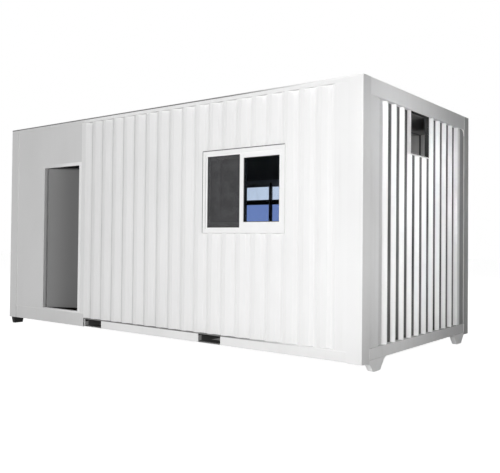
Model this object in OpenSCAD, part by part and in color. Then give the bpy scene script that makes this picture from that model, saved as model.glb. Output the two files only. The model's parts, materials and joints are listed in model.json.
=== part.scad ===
// Prefabricated site office: a steel container-type cabin with a door, a sliding window
// and an air-conditioner opening. The origin is at ground level, in the middle of the
// footprint. +X runs to the end with the air-conditioner opening, -Y is the front with
// the door and the window, +Z is up. All lengths are in millimetres.

/* [Overall size] */
// Length over the end frames
cabin_length = 6058; // [5400:1:7200]
// Width over the corner posts
cabin_width = 2950; // [2400:1:3300]
// Height from the ground to the top of the frame
cabin_height = 2960; // [2700:1:3200]

/* [Frame] */
// Leg of a corner post along the side wall
post_along = 170; // [150:1:190]
// Leg of a corner post along the end wall
post_across = 162; // [140:1:175]
// Radius of a corner post's outer edge
post_edge_r = 10; // [6:1:14]
// Underside of the bottom side rails above the ground
side_rail_bottom = 100; // [60:1:110]
// Height of the bottom side rails
side_rail_height = 120; // [112:1:150]
// Width of the bottom side rails' flanges
side_rail_flange = 60; // [50:1:80]
// Steel thickness of the bottom side rails
side_rail_plate = 5; // [4:0.5:8]
// Set-back of the bottom side rails from the posts' faces
side_rail_setback = 34; // [28:1:40]
// Underside of the end sills above the ground
sill_bottom = 126; // [115:1:140]
// Height of the end sills
sill_height = 116; // [100:1:130]
// Depth of the end sills and the end headers
end_rail_depth = 84; // [76:1:100]
// Set-back of sills and headers from the posts' faces
end_rail_setback = 2; // [0:1:4]
// Height of the end headers
header_height = 175; // [150:1:190]
// Size of the square top side rails
top_rail_size = 55; // [48:1:70]
// Thickness of a foot along the cabin
foot_depth = 60; // [40:1:80]
// Reach of a right-hand foot along the sill, measured from the cabin's side
foot_reach = 530; // [480:1:600]
// Where a right-hand foot's outer edge leaves the post, measured from the cabin's side
foot_heel = 145; // [60:1:155]
// Start of a right-hand foot's sole, measured from the cabin's side
foot_sole = 265; // [200:1:300]
// Reach of a right-hand foot on the ground
foot_toe = 395; // [360:1:440]
// Start of a left-hand foot under its post, measured from the cabin's side
block_foot_start = 36; // [10:1:60]
// Width of a left-hand foot at its top
block_foot_width = 180; // [140:1:240]
// How much narrower a left-hand foot's sole is at each side
block_foot_taper = 22; // [0:1:40]

/* [Fork pockets and floor] */
// Distance between the fork pockets' centres
pocket_spacing = 2100; // [1950:10:2150]
// Distance of the point midway between the pockets from the cabin's middle, to the left
pocket_offset = 25; // [0:1:60]
// Clear width of a fork pocket
pocket_width = 340; // [320:1:370]
// Length of the straps that close a fork pocket's underside
strap_length = 180; // [120:10:220]
// Spacing of the floor joists, at most
joist_spacing = 420; // [360:10:600]
// Flange width of a floor joist
joist_flange = 45; // [40:1:60]
// Steel thickness of a floor joist
joist_plate = 4.5; // [4:0.5:6]
// Thickness of the floor deck
deck_thickness = 28; // [21:1:30]

/* [Wall sheets] */
// Thickness of the corrugated steel sheet
sheet = 2; // [1.6:0.1:3]
// Set-back of the side walls' crests from the posts' faces
side_crest_setback = 8; // [6:1:10]
// Depth of the side walls' corrugation
side_depth = 34; // [26:1:36]
// Pitch of the side walls' corrugation
side_pitch = 211; // [202:1:214]
// Width of a crest on the side walls
side_crest = 50; // [40:1:60]
// Width of a slope on the side walls, seen square on
side_slope = 55; // [40:1:60]
// Width of the flat bay at the door, from the cabin's left end
bay_width = 1779; // [1740:1:1790]
// Set-back of the end walls' crests from the posts' faces
end_crest_setback = 12; // [8:1:16]
// Depth of the end walls' corrugation
end_depth = 45; // [36:1:50]
// Pitch of the end walls' corrugation
end_pitch = 202; // [186:1:206]
// Width of a crest on the end walls
end_crest = 20; // [16:1:44]
// Width of a slope on the end walls, seen square on
end_slope = 30; // [20:1:36]
// Flat margin beside the posts on an end wall, at least
end_margin = 170; // [120:1:210]
// Height of the kick plate below the door bay, above the rail's underside
kick_height = 177; // [165:1:182]
// Steel thickness of the kick plate
kick_plate = 3; // [2:0.5:4]

/* [Roof] */
// Pitch of the roof's corrugation
roof_pitch = 209; // [180:1:240]
// Width of a roof crest
roof_crest = 91; // [70:1:100]
// Width of a roof slope, seen from above
roof_slope = 14; // [10:1:24]
// Depth of the roof's corrugation
roof_depth = 20; // [14:1:24]
// Drop of the roof's crests below the frame's top
roof_drop = 4; // [2:1:10]

/* [Lining] */
// Thickness of the insulated lining panels
lining_thickness = 50; // [40:1:60]
// Joint between neighbouring lining panels
lining_joint = 2; // [1:0.5:4]
// Underside of the ceiling below the frame's top
ceiling_drop = 180; // [176:1:200]
// Thickness of the ceiling panel
ceiling_thickness = 50; // [40:1:60]

/* [Door] */
// Distance of the clear door opening from the cabin's left end
door_from_end = 850; // [800:1:900]
// Clear width of the door opening
door_width = 800; // [760:1:820]
// Bottom of the clear opening above the ground
door_bottom = 298; // [288:1:312]
// Top of the clear opening below the frame's top
door_top = 634; // [600:1:740]
// Width of the door frame's face
door_frame_face = 45; // [35:1:50]
// How far the frame stands proud of the flat bay
door_frame_proud = 4; // [2:1:6]
// Depth of the door frame's outer part, up to the stop
door_stop_depth = 45; // [42:1:47]
// Width of the stop behind which the leaf closes
door_rebate = 15; // [12:1:20]
// Thickness of the door leaf
leaf_thickness = 40; // [36:1:42]
// Gap round the leaf at the hinge side and the top
leaf_gap = 5; // [5:1:7]
// Gap at the leaf's free edge, which swings out a little
leaf_free_gap = 7; // [7:1:9]
// Gap below the leaf, which clears the threshold
leaf_floor_gap = 52; // [6:1:60]
// Angle at which the leaf stands ajar
ajar_angle = 28; // [0:1:60]
// Radius of the hinge knuckles
knuckle_r = 8; // [7:0.5:9]
// Radius of the hinge pins
pin_r = 4; // [3:0.5:5]
// Length of a hinge
hinge_length = 100; // [80:1:120]
// Height of the door handle above the ground
handle_height = 1300; // [1150:1:1400]
// Length of the handle's lever
lever_length = 125; // [100:1:140]

/* [Windows] */
// Distance of the back window from the cabin's left end
back_window_from_end = 2250; // [2000:1:2500]
// Distance of the front window from the cabin's right end
window_from_end = 933; // [845:1:1095]
// Width over the window frame
window_width = 1163; // [1000:1:1240]
// Bottom of the front window's frame below the cabin frame's top
window_bottom = 1569; // [1530:1:1680]
// Bottom of the back window's frame below the cabin frame's top
back_window_bottom = 1620; // [1530:1:1720]
// Height over the window frame
window_height = 946; // [820:1:980]
// Face width of the window frame
window_face = 40; // [30:1:50]
// Width of a sash's stiles
sash_stile = 35; // [30:1:45]
// Height of a sash's bottom rail
sash_bottom = 81; // [60:1:90]
// Height of a sash's top rail
sash_top = 63; // [50:1:75]
// Thickness of a sash
sash_depth = 26; // [22:1:28]
// Face width of the fly screen's frame
screen_face = 20; // [16:1:28]
// Depth of the fly screen's frame
screen_depth = 12; // [8:1:16]
// Thickness of the fly screen's mesh
screen_mesh = 2; // [1:0.5:3]
// Thickness of the glass
glass = 6; // [4:1:8]

/* [Air-conditioner opening] */
// Distance of the opening from the cabin's front
vent_from_front = 1144; // [1000:1:1250]
// Clear width of the opening
vent_width = 490; // [420:1:520]
// Bottom of the clear opening below the end header
vent_bottom = 482; // [470:1:560]
// Height of the clear opening
vent_height = 470; // [380:1:472]
// Steel thickness of the sleeve that lines the opening in the sheet
vent_sleeve = 4; // [3:0.5:6]
// How far the end's lining stays clear of the opening at each side
vent_lining_gap = 300; // [0:1:400]

/* [Hidden] */
$fn = 48;

half_l = cabin_length / 2;
half_w = cabin_width / 2;
eps = 1;

// Heights
rail_top = side_rail_bottom + side_rail_height;
deck_top = rail_top + deck_thickness;
sill_top = sill_bottom + sill_height;
top_rail_bottom = cabin_height - top_rail_size;
header_bottom = cabin_height - header_height;
ceiling_bottom = cabin_height - ceiling_drop;
kick_top = side_rail_bottom + kick_height;
door_head = cabin_height - door_top;
window_low = cabin_height - window_bottom;
window_high = window_low + window_height;
back_window_low = cabin_height - back_window_bottom;
back_window_high = back_window_low + window_height;
vent_low = header_bottom - vent_bottom;
vent_high = vent_low + vent_height;

// The fork pockets' centres, and where the flat bay and the kick plate before the first one end
pocket_places = [-pocket_offset - pocket_spacing / 2, -pocket_offset + pocket_spacing / 2];
bay_end = -half_l + bay_width;
kick_end = min(bay_end, pocket_places[0] - pocket_width / 2);

// As many valleys as a wall has room for
front_count = floor((half_l - post_along - bay_end + side_crest) / side_pitch);
back_count = floor((cabin_length - 2 * post_along + side_crest) / side_pitch);
end_count = floor((cabin_width - 2 * post_across - 2 * end_margin + end_crest) / end_pitch);

// Set-backs from the posts' faces
side_lining_setback = side_crest_setback + side_depth + sheet;
end_lining_setback = end_rail_setback + end_rail_depth;
deck_setback = side_crest_setback - door_frame_proud + door_stop_depth;
rail_reach = half_w - side_rail_setback - side_rail_flange;

// Door
door_left = -half_l + door_from_end;
door_right = door_left + door_width;
rough_left = door_left - door_frame_face;
rough_right = door_right + door_frame_face;
rough_top = door_head + door_frame_face;
frame_face_y = -half_w + side_crest_setback - door_frame_proud;
stop_y = frame_face_y + door_stop_depth;
door_frame_inner_y = -half_w + side_lining_setback + lining_thickness + 2;
leaf_outer_y = stop_y + leaf_gap;
leaf_inner_y = leaf_outer_y + leaf_thickness;
leaf_left = door_left - door_rebate + leaf_gap;
leaf_right = door_right + door_rebate - leaf_free_gap;
leaf_bottom = deck_top + leaf_floor_gap;
leaf_top = door_head + door_rebate - leaf_gap;
hinge_x = door_left - door_rebate + leaf_gap / 2;
hinge_y = door_frame_inner_y + knuckle_r;
hinge_heights = [leaf_bottom + 220, (leaf_bottom + leaf_top) / 2, leaf_top - 220];
pin_clearance = 0.05;

// Window
window_right = half_l - window_from_end;
window_left = window_right - window_width;
back_window_left = -half_l + back_window_from_end;
window_face_y = -half_w;
window_depth = side_lining_setback + lining_thickness;
outer_track_y = window_face_y + 14;
inner_track_y = outer_track_y + sash_depth + 6;
window_middle = (window_left + window_right) / 2;
window_inner = window_width / 2 - window_face;
meeting_overlap = 20;

// Air-conditioner opening
vent_front = -half_w + vent_from_front;
vent_back = vent_front + vent_width;

// Basic shapes

// A box between two opposite corners
module block(low, high) {
    translate(low) cube(high - low);
}

// Everything turned from the front left corner to the other corners
module to_corner(right, back) {
    mirror([right ? 1 : 0, 0, 0]) mirror([0, back ? 1 : 0, 0]) children();
}

// The points of one face of a corrugated sheet: dips below a line at the crests' level
function dips(start, pitch, count, crest, slope, depth) =
    let (valley = pitch - crest - 2 * slope)
    [for (i = [0:count - 1], point = [[0, 0], [slope, depth], [slope + valley, depth],
                                      [2 * slope + valley, 0]])
        [start + i * pitch, 0] + point];

// A sheet in section, as thick as the sheet along Y, with flat margins at the crests' level
module wave_sheet(from, to, start, pitch, count, crest, slope, depth) {
    outer = concat([[from, 0]], dips(start, pitch, count, crest, slope, depth), [[to, 0]]);
    inner = [for (i = [len(outer) - 1:-1:0]) outer[i] + [0, sheet]];
    polygon(concat(outer, inner));
}

// The first dip's place where the dips are in the middle of a stretch
function centred(from, to, pitch, count, crest) = (from + to - (count * pitch - crest)) / 2;

// Frame

// An angled post with a rounded outer edge; the lining fits into its inner corner
module corner_post(right, back) {
    r = post_edge_r;
    color("whitesmoke")
    to_corner(right, back) translate([-half_l, -half_w, side_rail_bottom])
        linear_extrude(cabin_height - side_rail_bottom) difference() {
            union() {
                translate([r, 0]) square([post_along - r, post_across]);
                translate([0, r]) square([post_along, post_across - r]);
                translate([r, r]) circle(r = r);
            }
            translate([end_lining_setback, side_lining_setback])
                square([post_along, post_across]);
        }
}

// A foot's outline in the end's plane, as thick as a foot is along the cabin
module foot(right, back, outline) {
    to_corner(right, back) translate([-half_l + end_rail_setback, -half_w, 0])
        rotate([90, 0, 90]) linear_extrude(foot_depth) polygon(outline);
}

// Right-hand plates below the posts and the sill's ends, and left-hand blocks below the posts
module corner_feet() {
    plate = [[foot_sole, 0], [foot_toe, 0], [foot_toe + 15, 8],
             [foot_reach - 42, sill_bottom - 26], [foot_reach, sill_bottom],
             [post_across, sill_bottom], [post_across, side_rail_bottom],
             [foot_heel, side_rail_bottom], [foot_heel + 24, side_rail_bottom - 10],
             [foot_sole - 20, 6]];
    end = block_foot_start + block_foot_width;
    rise = end > post_across ? sill_bottom : side_rail_bottom;
    block = concat([[block_foot_start, side_rail_bottom], [block_foot_start + block_foot_taper, 0],
                    [end - block_foot_taper, 0], [end, side_rail_bottom]],
                   rise > side_rail_bottom ? [[end, rise], [post_across, rise],
                                              [post_across, side_rail_bottom]] : []);
    color("silver")
    for (back = [false, true]) {
        foot(true, back, plate);
        foot(false, back, block);
    }
}

// A channel with its web outwards, open where the forks go in
module bottom_rail(back) {
    inner = side_rail_setback + side_rail_flange;
    color("gainsboro")
    mirror([0, back ? 1 : 0, 0]) difference() {
        block([-half_l + post_along, -half_w + side_rail_setback, side_rail_bottom],
              [half_l - post_along, -half_w + inner, rail_top]);
        block([-half_l, -half_w + side_rail_setback + side_rail_plate,
               side_rail_bottom + side_rail_plate],
              [half_l, -half_w + inner + eps, rail_top - side_rail_plate]);
        for (x = pocket_places)
            translate([x, -half_w, 0])
                block([-pocket_width / 2, 0, side_rail_bottom + side_rail_plate],
                      [pocket_width / 2, inner, rail_top - side_rail_plate]);
    }
}

// A bar across each end between the posts, at a height
module end_bars(low, high) {
    x = -half_l + end_rail_setback;
    color("silver")
    for (right = [0, 1]) mirror([right, 0, 0])
        block([x, -half_w + post_across, low], [x + end_rail_depth, half_w - post_across, high]);
}

module end_sills() {
    end_bars(sill_bottom, sill_top);
}

module end_headers() {
    end_bars(header_bottom, cabin_height);
}

module top_rails() {
    color("whitesmoke")
    for (back = [0, 1]) mirror([0, back, 0])
        block([-half_l + post_along, -half_w, top_rail_bottom],
              [half_l - post_along, -half_w + top_rail_size, cabin_height]);
}

// Floor

// A joist with its web at x = 0 and its flanges towards +X
module joist() {
    low = side_rail_bottom + side_rail_plate;
    difference() {
        block([0, -rail_reach, low], [joist_flange, rail_reach, rail_top]);
        block([joist_plate, -rail_reach - eps, low + joist_plate],
              [joist_flange + eps, rail_reach + eps, rail_top - joist_plate]);
    }
}

// Joists spread evenly over a stretch, with one at each end
module joist_row(from, to) {
    count = ceil((to - from) / joist_spacing);
    for (i = [0:count])
        translate([from + (to - from) * i / count, 0, 0]) mirror([i == 0 ? 0 : 1, 0, 0]) joist();
}

module floor_joists() {
    edge = pocket_width / 2;
    end = half_l - post_along;
    color("dimgray") {
        joist_row(-end, pocket_places[0] - edge);
        joist_row(pocket_places[0] + edge, pocket_places[1] - edge);
        joist_row(pocket_places[1] + edge, end);
    }
}

// The top plates of the fork pockets and the straps under their mouths
module fork_pocket_plates() {
    color("dimgray")
    for (x = pocket_places) translate([x, 0, 0]) {
        block([-pocket_width / 2, -rail_reach, rail_top - side_rail_plate],
              [pocket_width / 2, rail_reach, rail_top]);
        for (back = [0, 1]) mirror([0, back, 0])
            block([-pocket_width / 2, -rail_reach, side_rail_bottom],
                  [pocket_width / 2, -rail_reach + strap_length,
                   side_rail_bottom + side_rail_plate]);
    }
}

module floor_deck() {
    color("burlywood")
        block([-half_l + end_lining_setback, -half_w + deck_setback, rail_top],
              [half_l - end_lining_setback, half_w - deck_setback, deck_top]);
}

// A folded plate in front of the rail, flush with the flat bay, under the door frame
module door_kick_plate() {
    face = side_crest_setback;
    fold = [[face, 0], [side_rail_setback, 0], [side_rail_setback, kick_plate],
            [face + kick_plate, kick_plate], [face + kick_plate, kick_height - kick_plate],
            [side_lining_setback, kick_height - kick_plate], [side_lining_setback, kick_height],
            [face, kick_height]];
    color("gainsboro")
    translate([-half_l + post_along, -half_w, side_rail_bottom]) rotate([90, 0, 90])
        linear_extrude(kick_end + half_l - post_along) polygon(fold);
}

// Side walls

// The whole front wall's sheet, flat at the door and corrugated beyond, with no openings
module front_sheet() {
    from = -half_l + post_along;
    to = half_l - post_along;
    translate([0, -half_w + side_crest_setback, rail_top])
        linear_extrude(top_rail_bottom - rail_top)
            wave_sheet(from, to, bay_end, side_pitch, front_count,
                       side_crest, side_slope, side_depth);
}

// A stretch of the front wall, above the kick plate where the wall is flat
module front_stretch(from, to, low, high) {
    color("white") difference() {
        intersection() {
            front_sheet();
            block([from, -half_w, low], [to, 0, high]);
        }
        block([-half_l, -half_w, 0], [kick_end, 0, kick_top]);
    }
}

module front_wall_left_of_door() {
    front_stretch(-half_l, rough_left, 0, cabin_height);
}

module front_wall_over_door() {
    front_stretch(rough_left, rough_right, rough_top, cabin_height);
}

module front_wall_middle() {
    front_stretch(rough_right, window_left, 0, cabin_height);
}

module front_wall_under_window() {
    front_stretch(window_left, window_right, 0, window_low);
}

module front_wall_over_window() {
    front_stretch(window_left, window_right, window_high, cabin_height);
}

module front_wall_right() {
    front_stretch(window_right, half_l, 0, cabin_height);
}

module back_wall() {
    to = half_l - post_along;
    start = centred(-to, to, side_pitch, back_count, side_crest);
    color("white")
    mirror([0, 1, 0]) difference() {
        translate([0, -half_w + side_crest_setback, rail_top])
            linear_extrude(top_rail_bottom - rail_top)
                wave_sheet(-to, to, start, side_pitch, back_count,
                           side_crest, side_slope, side_depth);
        block([back_window_left, -half_w, back_window_low],
              [back_window_left + window_width, 0, back_window_high]);
    }
}

// End walls

// The whole sheet of the left end wall, with no opening
module end_sheet() {
    to = half_w - post_across;
    start = centred(-to, to, end_pitch, end_count, end_crest);
    translate([-half_l + end_crest_setback, 0, sill_top])
        linear_extrude(header_bottom - sill_top) mirror([1, -1])
            wave_sheet(-to, to, start, end_pitch, end_count, end_crest, end_slope, end_depth);
}

module left_end_wall() {
    color("white") end_sheet();
}

module right_end_stretch(from, to, low, high) {
    color("white") intersection() {
        mirror([1, 0, 0]) end_sheet();
        block([0, from, low], [half_l, to, high]);
    }
}

module right_end_wall_front() {
    right_end_stretch(-half_w, vent_front - vent_sleeve, 0, cabin_height);
}

module right_end_wall_back() {
    right_end_stretch(vent_back + vent_sleeve, half_w, 0, cabin_height);
}

module right_end_wall_under_vent() {
    right_end_stretch(vent_front - vent_sleeve, vent_back + vent_sleeve,
                      0, vent_low - vent_sleeve);
}

module right_end_wall_over_vent() {
    right_end_stretch(vent_front - vent_sleeve, vent_back + vent_sleeve,
                      vent_high + vent_sleeve, cabin_height);
}

// The steel sleeve that lines the air-conditioner opening, as deep as the sheet's corrugation
module vent_sleeve_frame() {
    outer_x = half_l - end_crest_setback + 4;
    inner_x = half_l - end_crest_setback - end_depth - sheet;
    color("white") difference() {
        block([inner_x, vent_front - vent_sleeve, vent_low - vent_sleeve],
              [outer_x, vent_back + vent_sleeve, vent_high + vent_sleeve]);
        block([inner_x - eps, vent_front, vent_low], [outer_x + eps, vent_back, vent_high]);
    }
}

// Roof

module roof_sheet() {
    to = half_l - end_lining_setback;
    reach = half_w - top_rail_size;
    count = floor((2 * to + roof_crest) / roof_pitch);
    start = centred(-to, to, roof_pitch, count, roof_crest);
    color("whitesmoke")
    translate([0, reach, cabin_height - roof_drop]) rotate([90, 0, 0])
        linear_extrude(2 * reach) mirror([0, 1])
            wave_sheet(-to, to, start, roof_pitch, count, roof_crest, roof_slope, roof_depth);
}

// Lining

// A lining panel on a side wall, on the front or mirrored to the back
module side_lining(from, to, low, high) {
    y = -half_w + side_lining_setback;
    block([from, y, low], [to, y + lining_thickness, high]);
}

module front_lining() {
    from = -half_l + end_lining_setback + lining_thickness;
    to = half_l - end_lining_setback - lining_thickness;
    gap = lining_joint;
    color("lightgray") {
        side_lining(from, rough_left, deck_top, ceiling_bottom);
        side_lining(rough_left + gap, rough_right - gap, rough_top, ceiling_bottom);
        side_lining(rough_right, window_left, deck_top, ceiling_bottom);
        side_lining(window_left + gap, window_right - gap, deck_top, window_low);
        side_lining(window_left + gap, window_right - gap, window_high, ceiling_bottom);
        side_lining(window_right, to, deck_top, ceiling_bottom);
    }
}

module back_lining() {
    to = half_l - end_lining_setback - lining_thickness;
    left = back_window_left;
    right = left + window_width;
    gap = lining_joint;
    color("lightgray") mirror([0, 1, 0]) {
        side_lining(-to, left, deck_top, ceiling_bottom);
        side_lining(left + gap, right - gap, deck_top, back_window_low);
        side_lining(left + gap, right - gap, back_window_high, ceiling_bottom);
        side_lining(right, to, deck_top, ceiling_bottom);
    }
}

// A lining panel on the left end wall
module end_lining(from, to, low, high) {
    x = -half_l + end_lining_setback;
    block([x, from, low], [x + lining_thickness, to, high]);
}

module left_lining() {
    to = half_w - side_lining_setback;
    color("lightgray") end_lining(-to, to, deck_top, ceiling_bottom);
}

module right_lining() {
    to = half_w - side_lining_setback;
    low = vent_front - vent_lining_gap;
    high = vent_back + vent_lining_gap;
    gap = lining_joint;
    color("lightgray") mirror([1, 0, 0]) {
        end_lining(-to, low, deck_top, ceiling_bottom);
        end_lining(low + gap, high - gap, deck_top, vent_low - vent_sleeve);
        end_lining(high, to, deck_top, ceiling_bottom);
    }
}

module ceiling_lining() {
    color("lightgray")
        block([-half_l + end_lining_setback, -half_w + side_lining_setback, ceiling_bottom],
              [half_l - end_lining_setback, half_w - side_lining_setback,
               ceiling_bottom + ceiling_thickness]);
}

// Door

module door_frame() {
    color("whitesmoke") {
        difference() {
            block([rough_left, frame_face_y, kick_top], [rough_right, stop_y, rough_top]);
            block([door_left, frame_face_y - eps, door_bottom], [door_right, stop_y + eps, door_head]);
        }
        difference() {
            block([rough_left, stop_y, deck_top], [rough_right, door_frame_inner_y, rough_top]);
            block([door_left - door_rebate, stop_y - eps, 0],
                  [door_right + door_rebate, door_frame_inner_y + eps, door_head + door_rebate]);
        }
    }
}

// Places the leaf's pieces, drawn as in the closed door, at the angle they stand at
module ajar() {
    translate([hinge_x, hinge_y, 0]) rotate([0, 0, ajar_angle])
        translate([-hinge_x, -hinge_y, 0]) children();
}

module door_leaf() {
    color("gray") ajar()
        block([leaf_left, leaf_outer_y, leaf_bottom], [leaf_right, leaf_inner_y, leaf_top]);
}

// The pins, with the knuckles at both ends of each hinge and their plates on the frame
module door_hinge_pins() {
    third = hinge_length / 3;
    color("silver")
    for (z = hinge_heights) translate([hinge_x, hinge_y, z - hinge_length / 2]) {
        cylinder(r = pin_r, h = hinge_length);
        for (low = [0, 2 * third]) translate([0, 0, low]) {
            cylinder(r = knuckle_r, h = third);
            block([rough_left - hinge_x, -knuckle_r, 0], [0, -knuckle_r + 3, third]);
        }
    }
}

// The middle knuckle of each hinge, bored for the pin, with its plate on the leaf
module door_hinge_leaves() {
    third = hinge_length / 3;
    clear = 0.5;
    plate_y = leaf_inner_y - hinge_y;
    color("silver") ajar()
    for (z = hinge_heights) translate([hinge_x, hinge_y, z - third / 2 + clear]) difference() {
        union() {
            cylinder(r = knuckle_r, h = third - 2 * clear);
            block([0, plate_y, 0], [45, -knuckle_r + 3, third - 2 * clear]);
        }
        translate([0, 0, -eps]) cylinder(r = pin_r + pin_clearance, h = third + 2 * eps);
    }
}

// A rose and a lever on one face of the leaf, drawn outwards along -Y
module lever_set() {
    rotate([90, 0, 0]) {
        cylinder(r = 26, h = 8);
        cylinder(r = 10, h = 45);
    }
    block([-lever_length, -50, -10], [10, -36, 10]);
}

module door_handle() {
    spindle_x = leaf_right - 70;
    color("silver") ajar() {
        translate([spindle_x, leaf_outer_y, handle_height]) lever_set();
        translate([spindle_x, leaf_inner_y, handle_height]) mirror([0, 1, 0]) lever_set();
    }
}

// Windows, drawn with their middle at x = 0 and their bottom at z = 0

// The places of the windows: in the front wall and in the back wall
module at_front_window() {
    translate([window_middle, 0, window_low]) children();
}

module at_windows() {
    at_front_window() children();
    mirror([0, 1, 0]) translate([back_window_left + window_width / 2, 0, back_window_low])
        children();
}

// A rectangular frame in the wall's plane: face widths at the sides, the bottom and the top
module window_ring(from, to, low, high, y, depth, side, bottom, top) {
    difference() {
        block([from, y, low], [to, y + depth, high]);
        block([from + side, y - eps, low + bottom], [to - side, y + depth + eps, high - top]);
    }
}

module window_frames() {
    edge = window_width / 2;
    color("white") at_windows()
        window_ring(-edge, edge, 0, window_height, window_face_y, window_depth,
                    window_face, window_face, window_face);
}

module sash(from, to, y) {
    window_ring(from, to, window_face, window_height - window_face, y, sash_depth,
                sash_stile, sash_bottom, sash_top);
}

// The right sash runs in the outer track, the left one in the inner track
module window_sashes() {
    color("white") at_windows() {
        sash(-meeting_overlap, window_inner, outer_track_y);
        sash(-window_inner, meeting_overlap, inner_track_y);
    }
}

module pane(from, to, y) {
    block([from + sash_stile, y + (sash_depth - glass) / 2, window_face + sash_bottom],
          [to - sash_stile, y + (sash_depth + glass) / 2, window_height - window_face - sash_top]);
}

module window_panes() {
    color("lightblue", 0.4) at_windows() {
        pane(-meeting_overlap, window_inner, outer_track_y);
        pane(-window_inner, meeting_overlap, inner_track_y);
    }
}

// The fly screen in front of the front window's left sash: a thin frame
module window_screen_frame() {
    color("white") at_front_window()
        window_ring(-window_inner, -meeting_overlap, window_face, window_height - window_face,
                    outer_track_y, screen_depth, screen_face, screen_face, screen_face);
}

// The sheet of mesh in the fly screen's frame
module window_screen_mesh() {
    margin = window_face + screen_face;
    y = outer_track_y + screen_depth / 2;
    color("dimgray") at_front_window()
        block([screen_face - window_inner, y, margin],
              [-meeting_overlap - screen_face, y + screen_mesh, window_height - margin]);
}

bottom_rail(false);  // bottom_rail_front
bottom_rail(true);  // bottom_rail_back
end_sills();
top_rails();
end_headers();
corner_post(false, false);  // corner_post_front_left
corner_post(true, false);  // corner_post_front_right
corner_post(false, true);  // corner_post_back_left
corner_post(true, true);  // corner_post_back_right
corner_feet();
floor_joists();
fork_pocket_plates();
floor_deck();
door_kick_plate();
front_wall_left_of_door();
front_wall_over_door();
front_wall_middle();
front_wall_under_window();
front_wall_over_window();
front_wall_right();
back_wall();
left_end_wall();
right_end_wall_front();
right_end_wall_back();
right_end_wall_under_vent();
right_end_wall_over_vent();
vent_sleeve_frame();
roof_sheet();
front_lining();
back_lining();
left_lining();
right_lining();
ceiling_lining();
door_frame();
door_hinge_pins();
door_leaf();
door_hinge_leaves();
door_handle();
window_frames();
window_sashes();
window_panes();
window_screen_frame();
window_screen_mesh();
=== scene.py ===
"""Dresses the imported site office: painted steel, lining boards, glass, and small fittings."""

from __future__ import annotations

import functools
import json
import logging
import math
from dataclasses import dataclass, replace
from enum import Enum

import bmesh
import bpy
from mathutils import Matrix, Vector

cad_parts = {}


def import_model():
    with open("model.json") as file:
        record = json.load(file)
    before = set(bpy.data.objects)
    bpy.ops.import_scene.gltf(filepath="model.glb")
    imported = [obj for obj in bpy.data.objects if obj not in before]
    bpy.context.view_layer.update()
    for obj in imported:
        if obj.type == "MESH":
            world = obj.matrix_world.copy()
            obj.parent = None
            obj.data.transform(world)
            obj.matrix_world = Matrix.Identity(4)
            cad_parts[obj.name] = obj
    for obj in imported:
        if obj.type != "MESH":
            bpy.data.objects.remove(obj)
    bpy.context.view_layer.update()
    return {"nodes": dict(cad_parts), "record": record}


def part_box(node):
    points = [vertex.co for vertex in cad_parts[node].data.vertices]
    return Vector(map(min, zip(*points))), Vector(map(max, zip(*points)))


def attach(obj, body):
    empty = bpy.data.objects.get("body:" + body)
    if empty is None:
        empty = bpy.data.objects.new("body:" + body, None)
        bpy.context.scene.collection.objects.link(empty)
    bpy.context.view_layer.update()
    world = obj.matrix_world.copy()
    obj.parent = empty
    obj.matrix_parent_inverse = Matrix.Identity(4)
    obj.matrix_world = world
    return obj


log = logging.getLogger("site_office")

Colour = tuple[float, float, float]
Point = tuple[float, float, float]
Box = tuple[Vector, Vector]
Socket = bpy.types.NodeSocket

# How far a fitting sinks into what it sits on, in metres.
SINK = 0.0005
# Vertices nearer than this are one vertex, in metres.
MERGE = 1e-6


class Axis(Enum):
    """A direction of the cabin: along it, across it, or up."""

    ALONG = 0
    ACROSS = 1
    UP = 2


class End(Enum):
    """An end of the cabin, by the sign of its outward direction."""

    LEFT = -1.0
    RIGHT = 1.0


def grey(value: float) -> Colour:
    """Returns a neutral colour."""
    return (value, value, value)


def dim(colour: Colour, share: float) -> Colour:
    """Returns a share of a colour."""
    return tuple(share * value for value in colour)


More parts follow.
